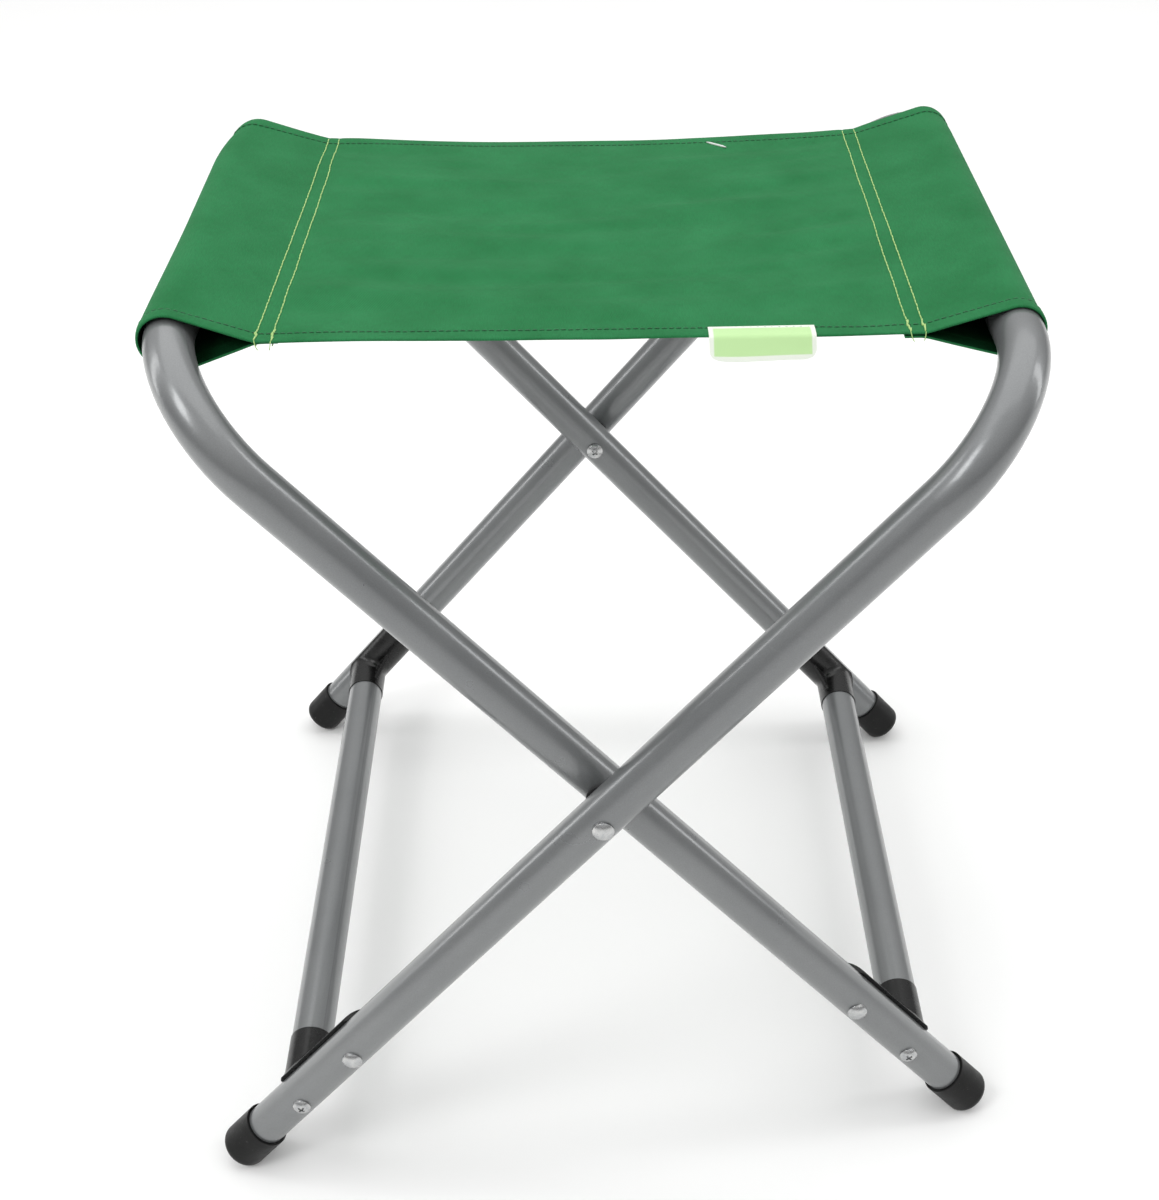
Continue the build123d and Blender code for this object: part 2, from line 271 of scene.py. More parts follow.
def sleeve_line(side, y):
    """One section through a sleeve, from SPLIT_X over the tube and back under it.

    Each point is (distance out, height, normal out, normal up, distance along)."""
    circles = (turn_circle(side, y, 1), turn_circle(side, y, -1))
    high = tangent_angle(side, y, 1)
    low = -tangent_angle(side, y, -1)
    shared = shared_angle(*circles)
    points = []
    cx, cz, radius = circles[0]
    top = Vector((cx + radius * math.cos(high), cz + radius * math.sin(high)))
    start = Vector((SPLIT_X, top_height(side * SPLIT_X, y)))
    along = 0.0
    for i in range(STRAND_STEPS):
        p = start.lerp(top, i / STRAND_STEPS)
        n = Vector((start.y - top.y, top.x - start.x)).normalized()
        points.append((p.x, p.y, n.x, n.y, along + (p - start).length))
    along = (top - start).length
    last = top
    for (cx, cz, radius), begin, stop, count in (
        (circles[0], high, shared, TOP_STEPS),
        (circles[1], shared, low, LOW_STEPS),
    ):
        for i in range(count + 1):
            a = begin + (stop - begin) * i / count
            n = Vector((math.cos(a), math.sin(a)))
            p = Vector((cx, cz)) + radius * n
            along += (p - last).length
            last = p
            if begin == shared and i == 0:
                # The straight run between the two arcs gets one point, at its middle.
                p = p.lerp(Vector(points[-1][:2]), 0.5)
            points.append((p.x, p.y, n.x, n.y, along))
    bottom = last
    end = Vector((SPLIT_X, flap_height(side, SPLIT_X, y)))
    for i in range(1, STRAND_STEPS + 1):
        p = bottom.lerp(end, i / STRAND_STEPS)
        n = Vector((end.y - bottom.y, bottom.x - end.x)).normalized()
        points.append((p.x, p.y, -abs(n.x), -abs(n.y), along + (p - bottom).length))
    return points


def flap_height(side, x, y):
    """Middle of the lower layer, from the raw edge to the lower strand."""
    seam = row_x(side, 0, y)
    fall = strand_slope(side, y, -1) * past_seam(x, seam)
    sag = sag_at(x, seam, y)
    layers = CLOTH + LAYER_GAP + 2 * HEM_EXTRA * hem_share(y)
    return RAIL_Z + (CLOTH + LAYER_GAP) / 2 - layers - sag - fall


def depth_stations():
    """Rows of the cloth from front to back, close together in the hems."""
    line = HALF_DEPTH - HEM
    past_line = 2.4
    count = 72
    half = [0.35, 1.2, 2.6, 4.2, 5.6, HEM - 1.1, HEM - 0.5, HEM, HEM + 0.5, HEM + 1.1, HEM + past_line]
    hem = [HALF_DEPTH - d for d in half]
    inside = line - past_line
    middle = [inside - 2 * inside * i / count for i in range(1, count)]
    return sorted([-y for y in hem] + middle + hem)


def panel_stations():
    """Columns of the upper layer from left to right, 1 mm apart at the stitching."""
    half = [SPLIT_X - i for i in range(16)]
    step = 3.3
    x = half[-1] - 1.6
    while x > step / 2:
        half.append(x)
        x -= step
    return [-x for x in half] + [0.0] + half[::-1]


def flap_stations(side, y):
    """Columns of the lower layer, from SPLIT_X in to the raw edge."""
    edge = row_x(side, 1, y) - FLAP
    return [SPLIT_X + (edge - SPLIT_X) * i / FLAP_STEPS for i in range(1, FLAP_STEPS + 1)]


def cloth_section(y):
    """The whole cloth at one depth, from the left raw edge to the right one.

    Each point is (x, z, normal x, normal z, distance across, part)."""
    sides = {}
    for side in (-1, 1):
        loop = sleeve_line(side, y)
        section = []
        for out, up, nx, nz, along in loop[1:-1]:
            lift = sleeve_wrinkle(side, along, y)
            if along < 6:
                lift = lift * along / 6 + seam_relief(side, out, y) * (1 - along / 6)
            section.append((out + nx * lift, up + nz * lift, nx, nz, SPLIT_X + along, "sleeve"))
        total = SPLIT_X + loop[-1][4]
        flap = [(SPLIT_X, flap_height(side, SPLIT_X, y), 0.0, -1.0, total, "edge")]
        for x in flap_stations(side, y):
            flap.append((x, flap_height(side, x, y), 0.0, -1.0, total + SPLIT_X - x, "flap"))
        sides[side] = section + flap
    left = [(-x, z, -nx, nz, -u, part) for x, z, nx, nz, u, part in reversed(sides[-1])]
    middle = []
    for x in panel_stations():
        side = 1 if x > 0 else -1
        part = "edge" if abs(x) == SPLIT_X else "panel"
        fade = smooth((SPLIT_X - abs(x)) / RIPPLE_FADE)
        lift = fade * panel_wrinkle(x, y) + seam_relief(side, abs(x), y) * (abs(x) < SPLIT_X)
        middle.append((x, top_height(x, y) + lift, 0.0, 1.0, x, part))
    return left + middle + sides[1]


def cloth_points(depths, sections):
    """Points of the cloth's outer and inner faces and of its two hem edges.

    Returns the points, their places on the flat cloth, and the rows of point numbers."""
    verts = []
    flat = []

    def add(x, y, z, u):
        verts.append(Vector((x, y, z)) * MM)
        flat.append((u * MM, y * MM))
        return len(verts) - 1

    outer = []
    inner = []
    for y, section in zip(depths, sections):
        up_row = []
        low_row = []
        inwards = (HALF_DEPTH - abs(y)) / EDGE_ROUNDING
        rounding = math.sqrt(max(0.0, 1 - max(0.0, 1 - inwards) ** 2))
        top = CLOTH / 2 * rounding + hem_relief(y)
        low = CLOTH / 2 * rounding + HEM_EXTRA * hem_share(y) * rounding - 0.6 * hem_relief(y)
        for x, z, nx, nz, u, part in section:
            shift = edge_line(u, y)
            up_row.append(add(x + nx * top, y + shift, z + nz * top, u))
            low_row.append(add(x - nx * low, y + shift, z - nz * low, u))
        outer.append(up_row)
        inner.append(low_row)
    rims = []
    back = HEM_EXTRA / 2
    for y, section in ((-HALF_DEPTH, sections[0]), (HALF_DEPTH, sections[-1])):
        rim = []
        for x, z, nx, nz, u, part in section:
            rim.append(add(x - nx * back, y + edge_line(u, y), z - nz * back, u))
        rims.append(rim)
    return verts, flat, outer, inner, rims


def build_cloth():
    """The cloth's solid: outer and inner faces, closed along every free edge.

    Each face is (points, piece it belongs to, 1 on the cloth's reverse)."""
    depths = depth_stations()
    sections = [cloth_section(y) for y in depths]
    parts = [point[5] for point in sections[0]]
    across = len(parts)
    verts, flat, outer, inner, rims = cloth_points(depths, sections)
    faces = []

    def strip(row_a, row_b, flip, reverse=0):
        for i in range(across - 1):
            face = (row_a[i], row_a[i + 1], row_b[i + 1], row_b[i])
            if "sleeve" in (parts[i], parts[i + 1]):
                owner = "left" if i < across / 2 else "right"
            else:
                owner = "panel"
            faces.append((face[::-1] if flip else face, owner, reverse))

    def closing_faces(i):
        """Faces between the two layers along column i, which close a cut through them."""
        ups = [rims[0][i]] + [row[i] for row in outer] + [rims[1][i]]
        lows = [rims[0][i]] + [row[i] for row in inner] + [rims[1][i]]
        for j in range(len(ups) - 1):
            yield tuple(dict.fromkeys((ups[j], ups[j + 1], lows[j + 1], lows[j])))

    for j in range(len(depths) - 1):
        strip(outer[j], outer[j + 1], False)
        strip(inner[j], inner[j + 1], True, 1)
    strip(rims[0], outer[0], False)
    strip(inner[0], rims[0], False)
    strip(outer[-1], rims[1], False)
    strip(rims[1], inner[-1], False)
    for i, flip in ((0, False), (across - 1, True)):
        for face in closing_faces(i):
            faces.append((face[::-1] if flip else face, "panel", 0))
    for i, part in enumerate(parts):
        if part != "edge":
            continue
        before = parts[i - 1] == "sleeve"
        sleeve = "left" if i < across / 2 else "right"
        for face in closing_faces(i):
            faces.append((face[::-1] if before else face, sleeve, 0))
            faces.append((face if before else face[::-1], "panel", 0))
    return verts, flat, faces


def new_object(name, data):
    """Adds an object with this mesh, light or camera to the scene."""
    obj = bpy.data.objects.new(name, data)
    bpy.context.scene.collection.objects.link(obj)
    return obj


def split_cloth(names, materials):
    """Three pieces that share their edge points and keep the whole cloth's normals."""
    verts, flat, faces = build_cloth()
    whole = bpy.data.meshes.new("whole")
    whole.from_pydata(verts, [], [face for face, owner, reverse in faces])
    whole.update()
    normals = [Vector(n.vector) for n in whole.vertex_normals]
    bpy.data.meshes.remove(whole)
    pieces = {}
    for owner, name in names.items():
        used = {}
        own = []
        sides = []
        for face, whose, reverse in faces:
            if whose == owner:
                own.append([used.setdefault(v, len(used)) for v in face])
                sides.append(reverse)
        order = list(used)
        mesh = bpy.data.meshes.new(name)
        mesh.from_pydata([verts[v] for v in order], [], own)
        for material in materials:
            mesh.materials.append(material)
        mesh.polygons.foreach_set("material_index", sides)
        layer = mesh.uv_layers.new(name="cloth")
        for loop in mesh.loops:
            layer.data[loop.index].uv = flat[order[loop.vertex_index]]
        mesh.polygons.foreach_set("use_smooth", [True] * len(mesh.polygons))
        mesh.normals_split_custom_set_from_vertices([normals[v] for v in order])
        pieces[owner] = new_object(name, mesh)
    return pieces


# ---------------------------------------------------------------- thread


class Threads:
    """Collects short lengths of thread as rounded tubes in one mesh."""

    SIDES = 6
    ASIDE = Vector((0.31, 0.17, 0.93))  # a direction that no thread runs in
    DRAWN_IN = 0.45

    def __init__(self):
        self.verts = []
        self.faces = []
        self.kinds = []

    def add(self, points, radius, kind):
        """A thread along the points, with its ends drawn in."""
        rings = []
        count = len(points)
        for i, point in enumerate(points):
            ahead = points[min(i + 1, count - 1)] - points[max(i - 1, 0)]
            side = ahead.cross(self.ASIDE).normalized()
            over = side.cross(ahead).normalized()
            size = radius * (self.DRAWN_IN if i in (0, count - 1) else 1.0)
            ring = []
            for k in range(self.SIDES):
                a = 2 * math.pi * k / self.SIDES
                ring.append(len(self.verts))
                self.verts.append(point + (side * math.cos(a) + over * math.sin(a)) * size)
            rings.append(ring)
        for a, b in zip(rings, rings[1:]):
            for k in range(self.SIDES):
                n = (k + 1) % self.SIDES
                self.faces.append((a[k], a[n], b[n], b[k]))
                self.kinds.append(kind)
        self.faces.append(tuple(rings[0][::-1]))
        self.faces.append(tuple(rings[-1]))
        self.kinds.extend([kind, kind])

    def build(self, name, materials):
        mesh = bpy.data.meshes.new(name)
        mesh.from_pydata([v * MM for v in self.verts], [], self.faces)
        for material in materials:
            mesh.materials.append(material)
        mesh.polygons.foreach_set("material_index", self.kinds)
        mesh.polygons.foreach_set("use_smooth", [True] * len(mesh.polygons))
        return new_object(name, mesh)


SEAM_THREAD, HEM_THREAD = 0, 1  # material slots
THREAD_R = 0.3
HEM_THREAD_R = 0.22
SEAM_PITCH = 3.5
HEM_PITCH = 3.1
STITCH_GAP = 0.25  # from a hole to the end of a seam stitch
UP = Vector((0, 0, 1))


def stitch(start, end, normal, radius):
    """One stitch: it comes up, lies on the cloth and goes down again."""
    points = []
    for t, lift in ((0.0, -0.35), (0.12, 0.12), (0.5, 0.22), (0.88, 0.12), (1.0, -0.35)):
        points.append(start.lerp(end, t) + normal * (lift + radius * 0.4))
    return points


def surface_point(side, x, y):
    """A point of the seat's upper face between the two sleeves."""
    fade = smooth((SPLIT_X - abs(x)) / RIPPLE_FADE)
    lift = fade * panel_wrinkle(x, y) + seam_relief(side, abs(x), y)
    lift += hem_relief(y) + CLOTH / 2
    return Vector((x, y + edge_line(x, y), top_height(x, y) + lift))


def under_point(side, point, y):
    """The point of the lower layer's underside below a surface point made at y."""
    return Vector((point.x, point.y, flap_height(side, abs(point.x), y) - CLOTH / 2))


def seam_stitching(threads):
    """Two rows each side, on top and underneath, with back-tacks and loose ends."""
    count = int((2 * HALF_DEPTH - 3) / SEAM_PITCH)
    for side in (-1, 1):
        for row in (0, 1):
            for i in range(count):
                y = -HALF_DEPTH + 1.5 + i * SEAM_PITCH
                start = y + STITCH_GAP
                end = y + SEAM_PITCH - STITCH_GAP
                jitter = 0.12 * math.sin(i * 2.4 + row)
                a = surface_point(side, side * row_x(side, row, y) + jitter, start)
                b = surface_point(side, side * row_x(side, row, y + SEAM_PITCH), end)
                threads.add(stitch(a, b, UP, THREAD_R), THREAD_R, SEAM_THREAD)
                low_a = under_point(side, a, start)
                low_b = under_point(side, b, end)
                threads.add(stitch(low_a, low_b, -UP, THREAD_R), THREAD_R, SEAM_THREAD)
            back_tack(threads, side, row)


def back_tack(threads, side, row):
    """Stitches sewn over again at the front end of a row, and the cut end of its thread."""
    for i in range(4):
        y = -HALF_DEPTH + 0.9 + 2.6 * i
        x = side * row_x(side, row, y) + 0.42 * math.sin(2.1 * i + row)
        a = surface_point(side, x - 0.2, y)
        b = surface_point(side, x + 0.25, y + 3.2)
        threads.add(stitch(a, b, UP, THREAD_R * 1.15), THREAD_R * 1.25, SEAM_THREAD)
    x = side * row_x(side, row, -HALF_DEPTH)
    edge = surface_point(side, x, -HALF_DEPTH + 0.8)
    lean = 1.0 if (row == 0) == (side < 0) else -0.5
    path = (
        (0.0, 0.0, 0.15),
        (0.1, -1.0, 0.0),
        (0.35, -1.6, -0.9),
        (0.7, -1.9, -2.0),
        (1.2, -2.3, -2.9),
        (1.8, -2.4, -3.6),
    )
    tail = [edge + Vector((dx * lean, dy, dz)) for dx, dy, dz in path]
    threads.add(tail, THREAD_R * 0.75, SEAM_THREAD)


def hem_stitching(threads):
    """Rows in the cloth's own green along the front and back hems."""
    for end in (-1, 1):
        y = end * (HALF_DEPTH - HEM)
        section = cloth_section(y)
        length = 0.0
        places = [0.0]
        for p, q in zip(section, section[1:]):
            length += math.hypot(q[0] - p[0], q[1] - p[1])
            places.append(length)
        count = int(length / HEM_PITCH)
        cursor = 0
        for i in range(count):
            mark = (i + 0.5) * length / count
            while places[cursor + 1] < mark:
                cursor += 1
            p, q = section[cursor], section[cursor + 1]
            t = (mark - places[cursor]) / (places[cursor + 1] - places[cursor])
            x, z, nx, nz, u = (p[k] + (q[k] - p[k]) * t for k in range(5))
            normal = Vector((nx, 0, nz)).normalized()
            along = Vector((q[0] - p[0], 0, q[1] - p[1])).normalized()
            middle = Vector((x, y + edge_line(u, y) + 0.1 * math.sin(1.9 * i), z))
            if "sleeve" in (p[5], q[5]):
                owner = "left" if x < 0 else "right"
            else:
                owner = "panel"
            lift = normal * (CLOTH / 2 + hem_relief(y) + 0.1)
            half = along * (HEM_PITCH / 2 - 0.4)
            a = middle - half + lift
            b = middle + half + lift
            threads[owner].add(stitch(a, b, normal, 0.2), HEM_THREAD_R, HEM_THREAD)


# ---------------------------------------------------------------- small pieces


TAG_WIDTH = (TAG_HIGH[0] - TAG_LOW[0]) / MM
TAG_X = (TAG_HIGH[0] + TAG_LOW[0]) / 2 / MM
TAG_THICK = 0.45
TAG_LYING = 8.4
TAG_TURN = 1.6
TAG_HANGING = 10.5
TAG_DROOP = math.radians(52)
TAG_CORNER = 4.6
TAG_LENGTH = TAG_LYING + TAG_TURN * TAG_DROOP + TAG_HANGING


def tag_line(s):
    """The tag's middle at length s: it lies, turns over the hem and hangs.

    Returns the place along y and z, and the angle it has turned through."""
    if s < TAG_LYING:
        return -s, 0.0, 0.0
    if s < TAG_LYING + TAG_TURN * TAG_DROOP:
        angle = (s - TAG_LYING) / TAG_TURN
        return -TAG_LYING - TAG_TURN * math.sin(angle), -TAG_TURN * (1 - math.cos(angle)), angle
    rest = s - TAG_LYING - TAG_TURN * TAG_DROOP
    y = -TAG_LYING - TAG_TURN * math.sin(TAG_DROOP) - rest * math.cos(TAG_DROOP)
    z = -TAG_TURN * (1 - math.cos(TAG_DROOP)) - rest * math.sin(TAG_DROOP)
    return y, z, TAG_DROOP


def slab_faces(rows, columns):
    """Faces of a closed slab made of two grids of points, the upper one first."""
    faces = []
    block = (rows + 1) * (columns + 1)

    def at(layer, j, i):
        return layer * block + j * (columns + 1) + i

    for j in range(rows):
        for i in range(columns):
            faces.append((at(0, j, i), at(0, j + 1, i), at(0, j + 1, i + 1), at(0, j, i + 1)))
            faces.append((at(1, j, i), at(1, j, i + 1), at(1, j + 1, i + 1), at(1, j + 1, i)))
    for i in range(columns):
        faces.append((at(0, 0, i), at(0, 0, i + 1), at(1, 0, i + 1), at(1, 0, i)))
        faces.append((at(0, rows, i + 1), at(0, rows, i), at(1, rows, i), at(1, rows, i + 1)))
    for j in range(rows):
        faces.append((at(0, j + 1, 0), at(0, j, 0), at(1, j, 0), at(1, j + 1, 0)))
        last = columns
        faces.append((at(0, j, last), at(0, j + 1, last), at(1, j + 1, last), at(1, j, last)))
    return faces


def tag_piece(material):
    """A blank woven tag: it lies on the front hem, turns over the edge and hangs."""
    columns = 30
    rows = 22
    start = -HALF_DEPTH + TAG_LYING
    verts = []
    flat = []
    for face in (0.5, -0.5):
        for j in range(rows + 1):
            s = TAG_LENGTH * j / rows
            over = max(0.0, s - (TAG_LENGTH - TAG_CORNER))
            inset = TAG_CORNER - math.sqrt(max(0.0, TAG_CORNER**2 - over**2))
            for i in range(columns + 1):
                t = i / columns - 0.5
                x = t * (TAG_WIDTH - 2 * inset)
                y, z, angle = tag_line(s)
                hang = smooth((s - TAG_LYING) / 8)
                curl = hang * (0.8 * (2 * t) ** 2 + 0.35 * math.sin(5 * t + 0.6))
                y += math.sin(angle) * (curl - face * TAG_THICK)
                z += math.cos(angle) * (curl + face * TAG_THICK)
                ground = surface_point(1, TAG_X + x, max(y + start, -HALF_DEPTH + 0.6)).z
                place = start + y + edge_line(TAG_X, -HALF_DEPTH)
                verts.append(Vector((TAG_X + x, place, ground + z + TAG_THICK * 0.62)) * MM)
                flat.append(((x + TAG_WIDTH / 2) / TAG_WIDTH, 1 - s / TAG_LENGTH))
    mesh = bpy.data.meshes.new("blank_tag")
    mesh.from_pydata(verts, [], slab_faces(rows, columns))
    layer = mesh.uv_layers.new(name="cloth")
    for loop in mesh.loops:
        layer.data[loop.index].uv = flat[loop.vertex_index]
    mesh.materials.append(material)
    mesh.polygons.foreach_set("use_smooth", [True] * len(mesh.polygons))
    mesh.set_sharp_from_angle(angle=math.radians(50))
    return new_object("blank_tag", mesh)


def tag_fastener(material):
    """The cross bar of a swing tag's plastic fastener, left in the back hem."""
    threads = Threads()
    start = surface_point(1, 64.0, 112.5)
    end = surface_point(1, 74.0, 105.0)
    lift = Vector((0, 0, 0.55))
    points = [start.lerp(end, i / 6) + lift for i in range(7)]
    threads.add(points, 0.6, 0)
    middle = start.lerp(end, 0.45)
    neck = [middle + Vector(step) for step in ((0, 0, 0.5), (0.1, 0.1, 0.1), (0, 0, -0.7))]
    threads.add(neck, 0.4, 0)
    return threads.build("tag_fastener", [material])


# ---------------------------------------------------------------- materials


class Nodes:
    """A small helper that adds and links shader nodes."""

    def __init__(self, name):
        self.material = bpy.data.materials.new(name)
        self.material.use_nodes = True
        self.tree = self.material.node_tree
        self.shader = self.tree.nodes["Principled BSDF"]

    def add(self, kind, **settings):
        """A new node with these settings."""
        node = self.tree.nodes.new(kind)
        for key, value in settings.items():
            setattr(node, key, value)
        return node

    def link(self, source, target):
        self.tree.links.new(source, target)

    def feed(self, socket, value):
        """Links a socket to another node's output, or sets its value."""
        if isinstance(value, bpy.types.NodeSocket):
            self.link(value, socket)
        else:
            socket.default_value = value

    def math(self, operation, a, b=0.0, c=0.0, clamp=False):
        node = self.add("ShaderNodeMath", operation=operation, use_clamp=clamp)
        for socket, value in zip(node.inputs, (a, b, c)):
            self.feed(socket, value)
        return node.outputs[0]

    def stretch(self, vector, scale):
        """Coordinates with their scale changed."""
        mapping = self.add("ShaderNodeMapping")
        mapping.inputs["Scale"].default_value = scale
        self.link(vector, mapping.inputs["Vector"])
        return mapping.outputs["Vector"]

    def place(self, scale=(1, 1, 1)):
        """The piece's own coordinates, in metres."""
        coords = self.add("ShaderNodeTexCoord")
        return self.stretch(coords.outputs["Object"], scale)

    def split(self, vector):
        """The X, Y and Z of coordinates."""
        node = self.add("ShaderNodeSeparateXYZ")
        self.link(vector, node.inputs[0])
        return node.outputs

    def noise(self, vector, scale, detail=4.0, rough=0.55):
        node = self.add("ShaderNodeTexNoise")
        self.link(vector, node.inputs["Vector"])
        node.inputs["Scale"].default_value = scale
        node.inputs["Detail"].default_value = detail
        node.inputs["Roughness"].default_value = rough
        return node.outputs["Fac"]

    def ramp(self, value, *stops):
        """A ramp through (place, colour or grey) stops."""
        node = self.add("ShaderNodeValToRGB")
        elements = node.color_ramp.elements
        while len(elements) < len(stops):
            elements.new(0.5)
        for element, (place, colour) in zip(elements, stops):
            element.position = place
            grey = isinstance(colour, (int, float))
            element.color = (colour,) * 3 + (1,) if grey else (*colour, 1)
        self.link(value, node.inputs["Fac"])
        return node.outputs["Color"]

    def mix(self, factor, a, b, blend="MIX"):
        node = self.add("ShaderNodeMix", data_type="RGBA", blend_type=blend)
        self.feed(node.inputs["Factor"], factor)
        for socket, value in zip(node.inputs[6:8], (a, b)):
            self.feed(socket, (*value, 1) if isinstance(value, tuple) else value)
        return node.outputs[2]

    def bump(self, height, distance, strength=1.0, normal=None):
        node = self.add("ShaderNodeBump")
        self.feed(node.inputs["Height"], height)
        node.inputs["Distance"].default_value = distance
        node.inputs["Strength"].default_value = strength
        if normal is not None:
            self.link(normal, node.inputs["Normal"])
        return node.outputs["Normal"]

    def soft_edges(self, radius):
        """A normal that rounds sharp edges."""
        node = self.add("ShaderNodeBevel", samples=4)
        node.inputs["Radius"].default_value = radius
        return node.outputs["Normal"]

    def finish(self, colour, roughness, normal=None, **values):
        """Sets the shader's inputs; an underscore in a name stands for a space."""
        self.feed(self.shader.inputs["Base Color"], colour)
        self.feed(self.shader.inputs["Roughness"], roughness)
        if normal is not None:
            self.link(normal, self.shader.inputs["Normal"])
        for name, value in values.items():
            self.shader.inputs[name.replace("_", " ")].default_value = value
        return self.material


def paint_material(name, seam=None):
    """Semi-gloss silver-grey paint, with faint orange peel, dust and rubbed patches.

    seam is (x, z, angle): a faint weld line along a cross tube with that axis."""
    n = Nodes(name)
    place = n.place()
    cloudy = n.noise(place, 9.0, 5.0)
    colour = n.ramp(cloudy, (0.3, (0.175, 0.182, 0.186)), (0.7, (0.212, 0.219, 0.221)))
    fleck = n.noise(place, 2600.0, 1.0)
    flecked = n.ramp(fleck, (0.35, 0.93), (0.65, 1.06))
    colour = n.mix(1.0, colour, flecked, "MULTIPLY")
    scuffs = n.noise(n.place((14, 3, 14)), 7.0, 8.0, 0.7)
    scuffed = n.ramp(scuffs, (0.62, 0.0), (0.7, 1.0))
    colour = n.mix(n.math("MULTIPLY", scuffed, 0.18), colour, (0.27, 0.28, 0.28))
    if seam:
        x, z, angle = seam
        at = n.split(place)
        dx = n.math("SUBTRACT", at["X"], x)
        dz = n.math("SUBTRACT", at["Z"], z)
        turn = n.math("ARCTAN2", dz, dx)
        wander = n.math("MULTIPLY", n.noise(place, 22.0, 2.0), 0.05)
        away = n.math("ABSOLUTE", n.math("SUBTRACT", n.math("ADD", turn, wander), angle))
        line = n.math("SUBTRACT", 1.0, n.math("MULTIPLY", away, 22.0), clamp=True)
        colour = n.mix(n.math("MULTIPLY", line, 0.35), colour, (0.09, 0.092, 0.095))
    rough = n.ramp(n.noise(place, 40.0, 5.0), (0.3, 0.27), (0.75, 0.36))
    peel = n.noise(place, 520.0, 2.0)
    broad = n.noise(place, 45.0, 2.0)
    normal = n.bump(broad, 0.00025, 0.5, n.bump(peel, 0.00006, 0.6))
    return n.finish(
        colour, rough, normal,
        Metallic=0.45, Coat_Weight=0.5, Coat_Roughness=0.12, Specular_IOR_Level=0.55,
    )


def moulding_material():
    """Glossy black moulded plastic with softened edges."""
    n = Nodes("black_moulding")
    place = n.place()
    dust = n.ramp(n.noise(place, 60.0, 8.0, 0.7), (0.55, 0.0), (0.8, 1.0))
    colour = n.mix(n.math("MULTIPLY", dust, 0.12), (0.005, 0.005, 0.005), (0.06, 0.058, 0.056))
    rough = n.ramp(n.noise(place, 110.0, 4.0), (0.3, 0.2), (0.75, 0.36))
    grain = n.noise(place, 900.0, 3.0)
    normal = n.bump(grain, 0.00008, 0.5, n.soft_edges(0.0006))
    return n.finish(colour, rough, normal, Specular_IOR_Level=0.4)


def rubber_material():
    """Satin black foot caps, scuffed grey where they meet the floor."""
    n = Nodes("foot_rubber")
    place = n.place()
    low = n.math("SUBTRACT", 1.0, n.math("DIVIDE", n.split(place)["Z"], 0.006), clamp=True)
    patchy = n.ramp(n.noise(place, 240.0, 8.0, 0.75), (0.4, 0.15), (0.62, 1.0))
    worn = n.math("MULTIPLY", n.math("MULTIPLY", low, patchy), 0.55)
    specks = n.ramp(n.noise(place, 700.0, 3.0), (0.66, 0.0), (0.74, 1.0))
    colour = n.mix(worn, (0.005, 0.005, 0.005), (0.10, 0.095, 0.09))
    colour = n.mix(n.math("MULTIPLY", specks, 0.25), colour, (0.16, 0.155, 0.15))
    rough = n.ramp(n.noise(place, 130.0, 4.0), (0.3, 0.34), (0.75, 0.52))
    normal = n.bump(n.noise(place, 1100.0, 3.0), 0.00012, 0.6, n.soft_edges(0.0006))
    return n.finish(colour, rough, normal, Specular_IOR_Level=0.22)


def steel_material():
    """Bright zinc plate on the screws, rivets and barrel nuts."""
    n = Nodes("plated_steel")
    place = n.place()
    tone = n.ramp(n.noise(place, 300.0, 4.0), (0.3, (0.40, 0.41, 0.42)), (0.75, (0.60, 0.60, 0.59)))
    rough = n.ramp(n.noise(place, 500.0, 5.0, 0.7), (0.3, 0.16), (0.75, 0.34))
    scratch = n.noise(n.place((1, 1, 9)), 700.0, 3.0)
    normal = n.bump(scratch, 0.00005, 0.6, n.soft_edges(0.00035))
    return n.finish(tone, rough, normal, Metallic=1.0)


def nylon_material(name, colour, light):
    """Plain moulded nylon."""
    n = Nodes(name)
    place = n.place()
    tone = n.mix(n.noise(place, 180.0, 4.0), colour, light)
    rough = n.ramp(n.noise(place, 260.0, 3.0), (0.3, 0.36), (0.75, 0.5))
    return n.finish(tone, rough, n.bump(n.noise(place, 1200.0, 2.0), 0.00004, 0.5))


def flat_cloth(n):
    """Coordinates on the flat cloth: metres on the seat, from 0 to 1 on the tag."""
    return n.add("ShaderNodeUVMap", uv_map="cloth").outputs["UV"]


def weave(n, flat, pitch):
    """Height of a plain weave on the flat cloth, from 0 to 1."""
    at = n.split(flat)
    waver = n.math("MULTIPLY", n.noise(flat, 90.0, 3.0), 0.0012)
    turns = 2 * math.pi / pitch
    warp = n.math("SINE", n.math("MULTIPLY", n.math("ADD", at["X"], waver), turns))
    weft = n.math("SINE", n.math("MULTIPLY", n.math("SUBTRACT", at["Y"], waver), turns))
    return n.math("MULTIPLY_ADD", n.math("MULTIPLY", warp, weft), 0.5, 0.5)


